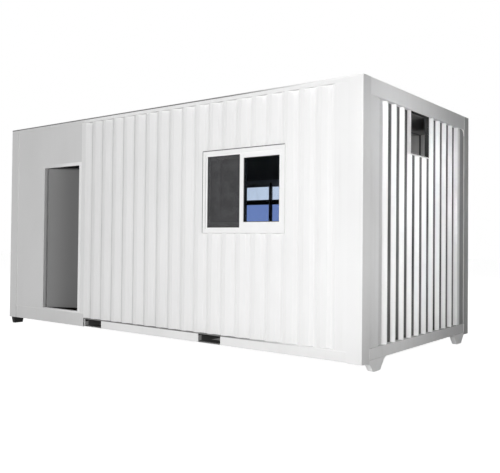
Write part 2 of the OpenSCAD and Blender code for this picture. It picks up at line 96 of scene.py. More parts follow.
class Graph:
    """A material's node tree, with short methods for the nodes that the finishes share."""

    def __init__(self, name: str) -> None:
        """Starts an empty tree with a Principled shader.

        Args:
            name: The material's name.
        """
        self.material = bpy.data.materials.new(name)
        self.material.use_nodes = True
        self.tree = self.material.node_tree
        self.tree.nodes.clear()
        self.output = self.node("ShaderNodeOutputMaterial")
        self.shader = self.node("ShaderNodeBsdfPrincipled")
        self.link(self.shader.outputs["BSDF"], self.output.inputs["Surface"])
        self.coords = self.node("ShaderNodeTexCoord").outputs["Object"]

    def node(self, kind: str) -> bpy.types.Node:
        """Adds a node of that kind."""
        return self.tree.nodes.new(kind)

    def link(self, source: Socket, target: Socket) -> None:
        """Joins two sockets."""
        self.tree.links.new(source, target)

    def stretched(self, scale: Point) -> Socket:
        """Scales the object coordinates.

        Args:
            scale: Factor along each axis.

        Returns:
            The mapped coordinates.
        """
        mapping = self.node("ShaderNodeMapping")
        mapping.inputs["Scale"].default_value = scale
        self.link(self.coords, mapping.inputs["Vector"])
        return mapping.outputs["Vector"]

    def noise(self, vector: Socket, scale: float, detail: float = 4.0,
              roughness: float = 0.55) -> Socket:
        """Adds a noise texture.

        Args:
            vector: Coordinates that it reads.
            scale: Its scale.
            detail: Its octaves.
            roughness: How strong the fine octaves are.

        Returns:
            The noise's value.
        """
        texture = self.node("ShaderNodeTexNoise")
        texture.inputs["Scale"].default_value = scale
        texture.inputs["Detail"].default_value = detail
        texture.inputs["Roughness"].default_value = roughness
        self.link(vector, texture.inputs["Vector"])
        return texture.outputs["Fac"]

    def ramp(self, value: Socket, low: float, high: float,
             out_low: float = 0.0, out_high: float = 1.0) -> Socket:
        """Maps a range of a value smoothly to another range.

        Args:
            value: The value.
            low: Start of the range.
            high: End of the range.
            out_low: Result at the start.
            out_high: Result at the end.

        Returns:
            The mapped value.
        """
        mapper = self.node("ShaderNodeMapRange")
        mapper.interpolation_type = "SMOOTHSTEP"
        mapper.inputs["From Min"].default_value = low
        mapper.inputs["From Max"].default_value = high
        mapper.inputs["To Min"].default_value = out_low
        mapper.inputs["To Max"].default_value = out_high
        self.link(value, mapper.inputs["Value"])
        return mapper.outputs["Result"]

    def maths(self, operation: str, first: Socket, second: Socket | float = 0.0) -> Socket:
        """Combines two values, or changes one.

        Args:
            operation: The Math node's operation.
            first: The first value.
            second: The second value, linked or plain, where the operation has two.

        Returns:
            The result.
        """
        node = self.node("ShaderNodeMath")
        node.operation = operation
        self.link(first, node.inputs[0])
        if isinstance(second, (int, float)):
            node.inputs[1].default_value = second
        else:
            self.link(second, node.inputs[1])
        return node.outputs[0]

    def place(self, axis: Axis) -> Socket:
        """Finds the place along one axis.

        Args:
            axis: The axis.

        Returns:
            The place, in metres.
        """
        split = self.node("ShaderNodeSeparateXYZ")
        self.link(self.coords, split.inputs["Vector"])
        return split.outputs[axis.value]

    def off(self, axis: Axis, first: float, pitch: float) -> Socket:
        """Measures how far each place is from the nearest of a row of lines.

        Args:
            axis: The axis that the lines are spaced along.
            first: The place of one line.
            pitch: The space between lines.

        Returns:
            The distance in pitches, which is 0.5 midway between two lines.
        """
        turns = self.maths("DIVIDE", self.place(axis), pitch)
        run = self.maths("FRACT", self.maths("ADD", turns, 0.5 - first / pitch))
        return self.maths("ABSOLUTE", self.maths("SUBTRACT", run, 0.5))

    def mix(self, factor: Socket, first: Colour | Socket, second: Colour | Socket) -> Socket:
        """Mixes two colours.

        Args:
            factor: Share of the second colour.
            first: The first colour, plain or linked.
            second: The second colour, plain or linked.

        Returns:
            The mixed colour.
        """
        node = self.node("ShaderNodeMix")
        node.data_type = "RGBA"
        self.link(factor, node.inputs["Factor"])
        for socket, value in ((node.inputs[6], first), (node.inputs[7], second)):
            if isinstance(value, tuple):
                socket.default_value = (*value, 1.0)
            else:
                self.link(value, socket)
        return node.outputs[2]

    def colour(self, value: Socket) -> None:
        """Links the base colour."""
        self.link(value, self.shader.inputs["Base Color"])

    def rough(self, value: Socket) -> None:
        """Links the roughness."""
        self.link(value, self.shader.inputs["Roughness"])

    def bump(self, height: Socket, distance: float, strength: float) -> None:
        """Adds a bump to the shader's normal.

        Args:
            height: The height, from 0 to 1.
            distance: How high 1 is, in metres.
            strength: Strength of the bump.
        """
        node = self.node("ShaderNodeBump")
        node.inputs["Distance"].default_value = distance
        node.inputs["Strength"].default_value = strength
        self.link(height, node.inputs["Height"])
        self.link(node.outputs["Normal"], self.shader.inputs["Normal"])

    def plain(self, socket: str, value: float | tuple[float, ...]) -> None:
        """Sets a value that is the same all over the surface."""
        self.shader.inputs[socket].default_value = value


@dataclass(frozen=True)
class Fade:
    """A change of tone along one axis, from the whole tone at the start to a share of it at the end."""

    axis: Axis
    start: float
    end: float
    share: float = 0.0

    def loss(self, graph: Graph) -> Socket:
        """Returns how much of the tone is lost at each place."""
        return graph.ramp(graph.place(self.axis), self.start, self.end, 0.0, 1.0 - self.share)

    def left(self, graph: Graph) -> Socket:
        """Returns how much of the tone is left at each place."""
        return graph.ramp(graph.place(self.axis), self.start, self.end, 1.0, self.share)


@dataclass(frozen=True)
class Corners:
    """The corner lines of a corrugated side sheet, darkened as painted shade, and the flank that rises from
    each line, lightened as painted light.
    """

    first: float
    pitch: float = 0.211
    line: float = 0.016
    flank: float = 0.055
    share: float = 0.4
    strength: float = 0.7


@dataclass(frozen=True)
class Valleys:
    """The valleys of a corrugated end sheet, darkened as painted shade, where a share of the paint's tone is
    left.
    """

    end: End
    crest: float = 3.017
    depth: float = 0.045
    share: float = 0.04


@dataclass(frozen=True)
class Paint:
    """Sprayed paint on steel, with faint streaks and dust near the ground, and where set, painted shade in
    valleys, corner lines and along an axis, and painted light on flanks.
    """

    name: str
    colour: Colour
    dust: Colour = (0.50, 0.49, 0.47)
    dust_share: float = 0.45
    dust_low: float = 0.30
    dust_start: float = 0.05
    dust_end: float = 0.55
    roughness: float = 0.72
    specular: float = 0.2
    streaks: float = 0.24
    clouded: float = 0.965
    valleys: Valleys | None = None
    corners: Corners | None = None
    shade_fade: Fade | None = None
    flank_light: Fade | None = None
    shade_fades: tuple[Fade, ...] = ()

    def build(self) -> bpy.types.Material:
        """Builds the material.

        Returns:
            The paint.
        """
        graph = Graph(self.name)
        cloud = graph.noise(graph.stretched((1.0, 1.0, 0.6)), scale=1.3, detail=3.0)
        streak = graph.noise(graph.stretched((7.0, 7.0, 0.35)), scale=2.0, detail=5.0)
        speckle = graph.noise(graph.coords, scale=160.0, detail=2.0)
        dusty = tuple((1.0 - self.dust_share) * own + self.dust_share * dust
                      for own, dust in zip(self.colour, self.dust))
        base = graph.mix(graph.ramp(cloud, 0.35, 0.7), self.colour, dim(self.colour, self.clouded))
        base = graph.mix(graph.ramp(streak, 0.52, 0.8, 0.0, self.streaks), base, dusty)
        low = graph.ramp(graph.place(Axis.UP), self.dust_start, self.dust_end, self.dust_low, 0.0)
        patches = graph.ramp(cloud, 0.3, 0.75, 0.5, 1.0)
        base = graph.mix(graph.maths("MULTIPLY", low, patches), base, dusty)
        # Painted shade darkens the end sheet's valleys.
        if self.valleys is not None:
            base = graph.mix(self._shade_faded(graph, self._valley_shade(graph)), base,
                             dim(self.colour, self.valleys.share))
        # Painted shade darkens the side sheet's corner lines.
        if self.corners is not None:
            base = graph.mix(self._shade_faded(graph, self._lines(graph)), base,
                             dim(self.colour, self.corners.share))
        # Painted light brightens the side sheet's flanks beside the corner lines.
        if self.flank_light is not None:
            base = graph.mix(self._flank_light_share(graph), base, FLANK_HIGHLIGHT)
        # Painted shade darkens the paint along an axis.
        for fade in self.shade_fades:
            base = graph.mix(fade.loss(graph), base, grey(0.0))
        graph.colour(base)
        graph.rough(graph.ramp(speckle, 0.3, 0.7, self.roughness - 0.05, self.roughness + 0.08))
        graph.bump(speckle, distance=0.0004, strength=0.25)
        graph.plain("Specular IOR Level", self.specular)
        return graph.material

    def _shade_faded(self, graph: Graph, painted_shade: Socket) -> Socket:
        """Weakens the painted shade along one axis.

        Args:
            graph: The paint's nodes.
            painted_shade: The share of painted shade.

        Returns:
            The share that is left.
        """
        if self.shade_fade is None:
            return painted_shade
        return graph.maths("MULTIPLY", painted_shade, self.shade_fade.left(graph))

    def _lines(self, graph: Graph) -> Socket:
        """Finds the painted shade in the corner lines.

        Args:
            graph: The paint's nodes.

        Returns:
            Its share.
        """
        rows = self.corners
        width = rows.line / rows.pitch
        off = graph.off(Axis.ALONG, rows.first, rows.pitch)
        line = graph.ramp(off, 0.25 * width, 0.5 * width, rows.strength, 0.0)
        patches = graph.ramp(graph.noise(graph.coords, scale=3.0), 0.3, 0.7, 0.6, 1.0)
        return graph.maths("MULTIPLY", line, patches)

    def _flank_light_share(self, graph: Graph) -> Socket:
        """Finds the painted light on the flanks beside the corner lines, which evens out their shading.

        Args:
            graph: The paint's nodes.

        Returns:
            Its share.
        """
        rows = self.corners
        width = rows.flank / rows.pitch
        off = graph.off(Axis.ALONG, rows.first + rows.flank / 2, rows.pitch)
        flank = graph.ramp(off, 0.44 * width, 0.54 * width, 1.0, 0.0)
        return graph.maths("MULTIPLY", flank, self.flank_light.loss(graph))

    def _valley_shade(self, graph: Graph) -> Socket:
        """Finds the painted shade in the valleys, by depth below the end sheet's crests.

        Args:
            graph: The paint's nodes.

        Returns:
            Its share.
        """
        rows = self.valleys
        inward = graph.maths("MULTIPLY", graph.place(Axis.ALONG), -rows.end.value)
        depth = graph.maths("ADD", inward, rows.crest)
        mask = graph.ramp(depth, 0.82 * rows.depth, 0.99 * rows.depth)
        patches = graph.noise(graph.stretched((5.0, 5.0, 0.5)), scale=1.5)
        return graph.maths("MULTIPLY", mask, graph.ramp(patches, 0.3, 0.7, 0.8, 1.0))


@dataclass(frozen=True)
class Board:
    """A painted lining board with faint mottling."""

    name: str
    colour: Colour
    roughness: float = 0.65

    def build(self) -> bpy.types.Material:
        """Builds the material.

        Returns:
            The board's finish.
        """
        graph = Graph(self.name)
        mottle = graph.noise(graph.coords, scale=2.2, detail=5.0)
        grain = graph.noise(graph.stretched((40.0, 40.0, 6.0)), scale=6.0, detail=3.0)
        graph.colour(graph.mix(graph.ramp(mottle, 0.35, 0.7), self.colour, dim(self.colour, 0.9)))
        graph.rough(graph.ramp(grain, 0.3, 0.7, self.roughness - 0.05, self.roughness + 0.1))
        graph.bump(grain, distance=0.0003, strength=0.3)
        return graph.material


@dataclass(frozen=True)
class Planks:
    """Worn floor planks that run along the cabin."""

    name: str
    colour: Colour
    gap: Colour
    width: float = 0.18

    def build(self) -> bpy.types.Material:
        """Builds the material.

        Returns:
            The floor's finish.
        """
        graph = Graph(self.name)
        grain = graph.noise(graph.stretched((1.2, 14.0, 14.0)), scale=3.0, detail=6.0, roughness=0.6)
        joint = graph.ramp(graph.off(Axis.ACROSS, self.width / 2, self.width), 0.48, 0.495)
        wood = graph.mix(graph.ramp(grain, 0.35, 0.7), self.colour, dim(self.colour, 0.7))
        graph.colour(graph.mix(joint, wood, self.gap))
        graph.rough(graph.ramp(grain, 0.3, 0.7, 0.5, 0.7))
        relief = graph.maths("SUBTRACT", graph.maths("MULTIPLY", grain, 0.3), joint)
        graph.bump(relief, distance=0.001, strength=0.5)
        return graph.material


@dataclass(frozen=True)
class Metal:
    """Bare or plated metal with fine brush marks."""

    name: str
    colour: Colour
    roughness: float

    def build(self) -> bpy.types.Material:
        """Builds the material.

        Returns:
            The metal.
        """
        graph = Graph(self.name)
        brush = graph.noise(graph.stretched((30.0, 30.0, 400.0)), scale=4.0, detail=3.0)
        graph.colour(graph.mix(graph.ramp(brush, 0.3, 0.7), self.colour, dim(self.colour, 0.8)))
        graph.rough(graph.ramp(brush, 0.3, 0.7, self.roughness - 0.08, self.roughness + 0.1))
        graph.bump(brush, distance=0.0001, strength=0.3)
        graph.plain("Metallic", 1.0)
        return graph.material


@dataclass(frozen=True)
class Rubber:
    """Sealing rubber or sealant, slightly dusty, which may turn to wall white along the cabin as painted
    light.
    """

    name: str
    colour: Colour = (0.018, 0.018, 0.019)
    pale: tuple[float, float] | None = None

    def build(self) -> bpy.types.Material:
        """Builds the material.

        Returns:
            The rubber.
        """
        graph = Graph(self.name)
        dust = graph.noise(graph.coords, scale=24.0)
        dusty = tuple(0.06 + value for value in self.colour)
        base = graph.mix(graph.ramp(dust, 0.5, 0.8), self.colour, dusty)
        # Painted light: the colour turns to wall white along the cabin, where the wall is brightest.
        if self.pale is not None:
            base = graph.mix(graph.ramp(graph.place(Axis.ALONG), *self.pale), base, WALL_WHITE)
        graph.colour(base)
        graph.rough(graph.ramp(dust, 0.3, 0.7, 0.6, 0.8))
        graph.bump(dust, distance=0.0003, strength=0.4)
        return graph.material


@dataclass(frozen=True)
class Glass:
    """Tinted float glass with a film of dust, deeper in tint low down on the back window."""

    name: str
    tint: Colour
    deep: Colour
    deep_from: float
    deep_to: float
    back_from: float = 0.0
    back_to: float = 0.5

    def build(self) -> bpy.types.Material:
        """Builds the material.

        Returns:
            The glass.
        """
        graph = Graph(self.name)
        film = graph.noise(graph.stretched((3.0, 3.0, 1.2)), scale=2.5, detail=5.0)
        base = graph.mix(graph.ramp(film, 0.4, 0.75), self.tint, dim(self.tint, 0.93))
        low = graph.ramp(graph.place(Axis.UP), self.deep_from, self.deep_to, 1.0, 0.0)
        back = graph.ramp(graph.place(Axis.ACROSS), self.back_from, self.back_to)
        graph.colour(graph.mix(graph.maths("MULTIPLY", low, back), base, self.deep))
        graph.rough(graph.ramp(film, 0.4, 0.8, 0.0, 0.02))
        graph.plain("Transmission Weight", 1.0)
        graph.plain("IOR", 1.05)
        return graph.material


@dataclass(frozen=True)
class Mesh:
    """Woven fly mesh: dark threads with gaps that show what is behind."""

    name: str
    colour: Colour
    pitch: float = 0.004
    gap_cover: float = 0.35

    def build(self) -> bpy.types.Material:
        """Builds the material.

        Returns:
            The mesh.
        """
        graph = Graph(self.name)
        upright, level = (graph.ramp(graph.off(axis, self.pitch / 2, self.pitch), 0.30, 0.36)
                          for axis in (Axis.ALONG, Axis.UP))
        threads = graph.maths("MAXIMUM", upright, level)
        dust = graph.noise(graph.coords, scale=9.0)
        graph.colour(graph.mix(graph.ramp(dust, 0.4, 0.7), self.colour, dim(self.colour, 1.6)))
        graph.plain("Roughness", 0.75)
        graph.link(graph.ramp(threads, 0.0, 1.0, self.gap_cover, 1.0), graph.shader.inputs["Alpha"])
        return graph.material


Finish = Paint | Board | Planks | Metal | Rubber | Glass | Mesh


@functools.cache
def made(finish: Finish) -> bpy.types.Material:
    """Builds a finish the first time and returns the same material after that.

    Args:
        finish: The finish.

    Returns:
        Its material.
    """
    return finish.build()


WALL_WHITE = grey(0.83)
# Painted highlight for the side sheet's flanks, whiter than the wall paint.
FLANK_HIGHLIGHT = grey(0.94)
# The back window's glazing bar starts at this height, where its glass turns deeper in tint.
BAR_LOW = 1.885

# Painted shade in the corner lines that fades out to the right, painted light on the flanks towards the
# right, and painted shade darkening the sheet towards the left end.
FRONT_PAINT = Paint("front_sheet_paint", WALL_WHITE, corners=Corners(-1.144),
                    shade_fade=Fade(Axis.ALONG, -0.6, 1.2), flank_light=Fade(Axis.ALONG, -0.4, 1.6),
                    shade_fades=(Fade(Axis.ALONG, 2.6, -1.3, 0.90),))
# Painted shade in the corner lines.
BACK_PAINT = Paint("back_sheet_paint", WALL_WHITE, corners=Corners(-2.7175))
# Whiter than the side sheets' paint as painted light on the strips; painted shade in the valleys, weaker at
# the front edge, and painted shade darker towards the back, a little at the front margin and much at the
# back margin.
RIGHT_PAINT = Paint("right_end_paint", grey(0.95), valleys=Valleys(End.RIGHT),
                    shade_fade=Fade(Axis.ACROSS, -0.86, -0.93, 0.3),
                    shade_fades=(Fade(Axis.ACROSS, -0.3, 1.0, 0.90), Fade(Axis.ACROSS, -1.02, -1.06, 0.86),
                           Fade(Axis.ACROSS, 1.15, 1.21, 0.36)))
# The same painted light and shade on the left-hand end.
LEFT_PAINT = replace(RIGHT_PAINT, name="left_end_paint", valleys=Valleys(End.LEFT))
# Greyer than the wall paint, as painted shade on the bay round the door, the plate below it and the left
# front post.
BAY_PAINT = Paint("door_bay_paint", grey(0.64))
FRAME_PAINT = Paint("frame_paint", grey(0.82))
# Painted shade darkening the top rail towards the left end.
TOP_RAIL_PAINT = Paint("top_rail_paint", grey(0.82), shade_fades=(Fade(Axis.ALONG, -1.1, -1.4, 0.80),))
# Lighter than the frame paint near the front as painted light, darkening towards the back as painted shade.
HEADER_PAINT = Paint("header_paint", grey(0.89), shade_fades=(Fade(Axis.ACROSS, -1.2, 1.3, 0.68),))
SILL_PAINT = Paint("sill_paint", grey(0.87), shade_fades=(Fade(Axis.ACROSS, -1.2, 1.3, 0.73),))
# Darker than the frame paint as painted shade on the back posts.
BACK_POST_PAINT = Paint("back_post_paint", grey(0.43))
# Lighter than the frame paint as painted light, and nearly black at the left-hand feet as painted shade.
FOOT_PAINT = Paint("foot_paint", grey(0.92), shade_fades=(Fade(Axis.ALONG, -2.0, -2.6, 0.03),))
ROOF_PAINT = Paint("roof_paint", (0.78, 0.78, 0.77), roughness=0.6, streaks=0.48)
UNDER_PAINT = Paint("underframe_paint", grey(0.10), dust=(0.16, 0.15, 0.14), roughness=0.7)
# Painted shade darkening the leaf towards its free edge.
DOOR_PAINT = Paint("door_paint", grey(0.19), dust=grey(0.2), roughness=0.55,
                   shade_fades=(Fade(Axis.ALONG, -2.17, -1.80, 0.6),))
# Painted shade darkening the door frame towards its left side.
DOOR_FRAME_PAINT = Paint("door_frame_paint", WALL_WHITE, shade_fades=(Fade(Axis.ALONG, -1.5, -2.1, 0.77),))
TRIM_PAINT = Paint("vent_trim_paint", grey(0.84))
# Nearly black as painted shade inside the vent opening.
SLEEVE_PAINT = Paint("sleeve_paint", grey(0.03), dust=grey(0.1), roughness=0.75)
WINDOW_PAINT = Paint("window_paint", grey(0.86), roughness=0.32, streaks=0.12)
BAR_PAINT = Paint("glazing_bar_paint", (0.06, 0.065, 0.08), dust=grey(0.1), roughness=0.4)
LINING = Board("lining_board", (0.42, 0.42, 0.41))
CEILING = Board("ceiling_board", grey(0.26))
TRIM = Board("joint_strip", grey(0.05), 0.5)
FLOOR = Planks("floor_planks", (0.11, 0.085, 0.065), (0.02, 0.016, 0.012))
ZINC = Metal("zinc_plate", (0.62, 0.62, 0.61), 0.4)
ALUMINIUM = Metal("satin_aluminium", (0.74, 0.74, 0.75), 0.32)
SEAL = Rubber("seal_rubber")
# Dark sealant, also a painted shadow under the side sheets' overhang, turning to wall white towards the
# right end as painted light.
EDGE_SEALANT_AND_SHADOW = Rubber("edge_sealant_and_shadow", grey(0.16), (1.2, 2.7))
# Painted shadow along the top and the left side of the window frames.
SEALANT_SHADOW = Rubber("sealant_shadow", grey(0.10))
PALE_SEALANT = Rubber("pale_sealant", (0.70, 0.70, 0.69))
PANE = Glass("window_glass", (0.70, 0.77, 0.87), (0.20, 0.28, 0.55), BAR_LOW, BAR_LOW + 0.020)
SCREEN = Mesh("fly_mesh", (0.035, 0.035, 0.037))

# The finish of each CAD node by the start of its name, of which the longest counts.
NODE_FINISHES: dict[str, Finish] = {
    "": FRAME_PAINT,
    "front_wall": FRONT_PAINT,
    "front_wall_left_of_door": BAY_PAINT,
    "front_wall_over_door": BAY_PAINT,
    "door_kick_plate": BAY_PAINT,
    "corner_post_front_left": BAY_PAINT,
    "corner_post_back": BACK_POST_PAINT,
    "corner_feet": FOOT_PAINT,
    "back_wall": BACK_PAINT,
    "left_end_wall": LEFT_PAINT,
    "right_end_wall": RIGHT_PAINT,
    "vent_sleeve_frame": SLEEVE_PAINT,
    "top_rails": TOP_RAIL_PAINT,
    "end_headers": HEADER_PAINT,
    "end_sills": SILL_PAINT,
    "roof_sheet": ROOF_PAINT,
    "ceiling_lining": CEILING,
    "front_lining": LINING,
    "back_lining": LINING,
    "left_lining": LINING,
    "right_lining": LINING,
    "floor_deck": FLOOR,
    "floor_joists": UNDER_PAINT,
    "fork_pocket_plates": UNDER_PAINT,
    "door_frame": DOOR_FRAME_PAINT,
    "door_leaf": DOOR_PAINT,
    "door_hinge": ZINC,
    "door_handle": ALUMINIUM,
    "window": WINDOW_PAINT,
    "window_panes": PANE,
    "window_screen_mesh": SCREEN,
}

# Turns a shape that faces up so that it faces along an axis.
PLANES: dict[Axis, Matrix] = {
    Axis.ALONG: Matrix(((0.0, 0.0, 1.0), (1.0, 0.0, 0.0), (0.0, 1.0, 0.0))),
    Axis.ACROSS: Matrix(((1.0, 0.0, 0.0), (0.0, 0.0, 1.0), (0.0, 1.0, 0.0))),
}


class Piece:
    """A mesh under construction that ends as an object riding on a body."""

    sharp_angle: float = 0.5
    bead_sides: int = 8
    ripple_step: float = 1.5
    ripple_turn: float = 1.4
    spin_steps: int = 24
    arc_steps: int = 10

    def __init__(self, name: str) -> None:
        """Starts an empty mesh.

        Args:
            name: The piece's name.
        """
        self.name = name
        self.mesh = bmesh.new()

    @staticmethod
    def _round(part: bmesh.types.BMesh, lines: list[bmesh.types.BMEdge], radius: float) -> None:
        """Rounds some of a part's edges."""
        bmesh.ops.bevel(part, geom=lines, offset=radius, offset_type="OFFSET", affect="EDGES",
                        segments=2, profile=0.5, material=-1, clamp_overlap=True)

    @staticmethod
    def _thicken(part: bmesh.types.BMesh, faces: list[bmesh.types.BMFace], depth: float) -> None:
        """Pulls flat faces up into a plate.

        Args:
            part: The part that they belong to.
            faces: The faces.
            depth: How far they are pulled, which may be negative.
        """
        grown = bmesh.ops.extrude_face_region(part, geom=faces)["geom"]
        lifted = [item for item in grown if isinstance(item, bmesh.types.BMVert)]
        bmesh.ops.translate(part, verts=lifted, vec=(0.0, 0.0, depth))

    def _take(self, part: bmesh.types.BMesh, place: Matrix, radius: float = 0.0) -> None:
        """Puts a part into place and adds it to the mesh.

        Args:
            part: The part, which is used up.
            place: Where it goes.
            radius: Radius of its sharp edges, where they are rounded.
        """
        bmesh.ops.transform(part, matrix=place, verts=part.verts[:])
        bmesh.ops.recalc_face_normals(part, faces=part.faces[:])
        if radius:
            sharp = [line for line in part.edges if line.calc_face_angle(0.0) > self.sharp_angle]
            self._round(part, sharp, radius)
        data = bpy.data.meshes.new("part")
        part.to_mesh(data)
        part.free()
        self.mesh.from_mesh(data)
        bpy.data.meshes.remove(data)

    def bar(self, low: Point, high: Point, radius: float = 0.001) -> None:
        """Adds a straight bar with rounded edges.

        Args:
            low: Its lowest corner.
            high: Its highest corner.
            radius: Radius of its edges.
        """
        part = bmesh.new()
        bmesh.ops.create_cube(part, size=1.0)
        size = Matrix.Diagonal([b - a for a, b in zip(low, high)]).to_4x4()
        middle = [(a + b) / 2 for a, b in zip(low, high)]
        self._take(part, Matrix.Translation(middle) @ size, radius)

    def ring(self, axis: Axis, face: float, depth: float, low: tuple[float, float],
             high: tuple[float, float], width: float, radius: float = 0.0006) -> None:
        """Adds a flat rectangular ring with rounded edges.

        Args:
            axis: The axis that it faces.
            face: Where it starts on that axis.
            depth: Its thickness along the axis, which may be negative.
            low: Its low corner in the other two axes.
            high: Its high corner there.
            width: Width of the ring, inwards from the corners.
            radius: Radius of its edges.
        """
        part = bmesh.new()
        bmesh.ops.create_grid(part, x_segments=1, y_segments=1, size=0.5)
        bmesh.ops.scale(part, verts=part.verts[:], vec=(high[0] - low[0], high[1] - low[1], 1.0))
        middle = part.faces[:]
        rim = bmesh.ops.inset_region(part, faces=middle, thickness=width, use_boundary=True,
                                     use_even_offset=True)["faces"]
        bmesh.ops.delete(part, geom=middle, context="FACES_ONLY")
        self._thicken(part, rim, depth)
        centre = ((low[0] + high[0]) / 2, (low[1] + high[1]) / 2, face)
        self._take(part, PLANES[axis].to_4x4() @ Matrix.Translation(centre), radius)

    def bead(self, start: Point, end: Point, radius: float, ripple: float = 0.0) -> None:
        """Adds a round bead of sealant or weld.

        Args:
            start: The point where it starts.
            end: The point where it ends.
            radius: Its radius.
            ripple: How much its thickness rises and falls, as a share of the radius.
        """
        part = bmesh.new()
        run = Vector(end) - Vector(start)
        bmesh.ops.create_cone(part, cap_ends=True, cap_tris=False, segments=self.bead_sides,
                              radius1=radius, radius2=radius, depth=run.length)
        if ripple:
            sides = [line for line in part.edges if line.calc_length() > 0.9 * run.length]
            bmesh.ops.subdivide_edges(part, edges=sides, cuts=int(run.length / (self.ripple_step * radius)))
            for vert in part.verts:
                swell = 1.0 + ripple * math.sin(self.ripple_turn * vert.co.z / radius)
                vert.co.x *= swell
                vert.co.y *= swell
        tips = [line for line in part.edges
                if any(len(face.verts) == self.bead_sides for face in line.link_faces)]
        self._round(part, tips, 0.5 * radius)
        turn = Vector((0.0, 0.0, 1.0)).rotation_difference(run).to_matrix().to_4x4()
        self._take(part, Matrix.Translation((Vector(start) + Vector(end)) / 2) @ turn)

    def turned(self, profile: tuple[tuple[float, float], ...], place: Point, axis: Axis,
               sign: float = 1.0) -> None:
        """Adds a turned shape.

        Args:
            profile: Pairs of radius and height, spun about the axis.
            place: The point where the height is 0.
            axis: The axis that it is spun about.
            sign: Which way along the axis the height runs.
        """
        part = bmesh.new()
        verts = [part.verts.new((radius, 0.0, sign * height)) for radius, height in profile]
        lines = [part.edges.new(pair) for pair in zip(verts, verts[1:])]
        bmesh.ops.spin(part, geom=verts + lines, cent=(0.0, 0.0, 0.0), axis=(0.0, 0.0, 1.0),
                       dvec=(0.0, 0.0, 0.0), angle=math.tau, steps=self.spin_steps, use_merge=True,
                       use_duplicate=False)
        bmesh.ops.remove_doubles(part, verts=part.verts[:], dist=MERGE)
        self._take(part, Matrix.Translation(place) @ PLANES[axis].to_4x4())

    def fillet(self, corner: Point, across: float, depth: float, radius: float) -> None:
        """Adds a plate that rounds the inner corner below a beam.

        Args:
            corner: The inner corner, on the plate's outer face.
            across: Which way across the cabin the plate runs from the corner, 1 or -1.
            depth: Its thickness along the cabin, which may be negative.
            radius: Radius of its hollow edge.
        """
        part = bmesh.new()
        first = part.verts.new((radius, 0.0, 0.0))
        bmesh.ops.spin(part, geom=[first], cent=(radius, -radius, 0.0), axis=(0.0, 0.0, 1.0),
                       dvec=(0.0, 0.0, 0.0), angle=math.pi / 2, steps=self.arc_steps, use_merge=False,
                       use_duplicate=False)
        arc = sorted(part.verts, key=lambda vert: -vert.co.x)
        face = part.faces.new([*arc, part.verts.new((0.0, 0.0, 0.0))])
        self._thicken(part, [face], depth)
        flip = Matrix.Diagonal((across, 1.0, 1.0)).to_4x4()
        self._take(part, Matrix.Translation(corner) @ PLANES[Axis.ALONG].to_4x4() @ flip)

    def swing(self, hinge: Point, angle: float) -> None:
        """Turns all that is made so far about an upright hinge line."""
        bmesh.ops.rotate(self.mesh, verts=self.mesh.verts[:], cent=hinge,
                         matrix=Matrix.Rotation(angle, 3, "Z"))

    def finish(self, finish: Finish, body: str, slot: str, smooth: bool = False) -> None:
        """Makes the object, dresses it and lets it ride.

        Args:
            finish: Its finish.
            body: The body that carries it.
            slot: The record's material slot; not used.
            smooth: Whether its faces are shaded smooth.
        """
        bmesh.ops.remove_doubles(self.mesh, verts=self.mesh.verts[:], dist=MERGE)
        bmesh.ops.recalc_face_normals(self.mesh, faces=self.mesh.faces[:])
        for face in self.mesh.faces:
            face.smooth = smooth
        data = bpy.data.meshes.new(self.name)
        self.mesh.to_mesh(data)
        self.mesh.free()
        data.materials.append(made(finish))
        obj = bpy.data.objects.new(self.name, data)
        bpy.context.scene.collection.objects.link(obj)
        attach(obj, body)
        log.info("%s: %d faces on %s", self.name, len(data.polygons), body)


def solids(obj: bpy.types.Object) -> list[Box]:
    """Finds the separate solids of a CAD node.

    Args:
        obj: The node's object.

    Returns:
        The lowest and highest corner of each solid.
    """
    mesh = bmesh.new()
    mesh.from_mesh(obj.data)
    bmesh.ops.remove_doubles(mesh, verts=mesh.verts[:], dist=MERGE)
    left, found = set(mesh.verts), []
    while left:
        wave = [left.pop()]
        island = list(wave)
        while wave:
            vert = wave.pop()
            for line in vert.link_edges:
                other = line.other_vert(vert)
                if other in left:
                    left.remove(other)
                    wave.append(other)
                    island.append(other)
        spans = [[vert.co[axis] for vert in island] for axis in range(3)]
        found.append((Vector(map(min, spans)), Vector(map(max, spans))))
    mesh.free()
    return found


@dataclass
class Shell:
    """The frame, sheets, roof, floor, lining, door and windows, which are the CAD's own nodes."""

    nodes: dict[str, bpy.types.Object]

    def dress(self) -> None:
        """Gives every node its finish."""
        for name, obj in self.nodes.items():
            start = max((key for key in NODE_FINISHES if name.startswith(key)), key=len)
            material = made(NODE_FINISHES[start])
            obj.data.materials.clear()
            obj.data.materials.append(material)
            log.info("%s: %s", name, material.name)


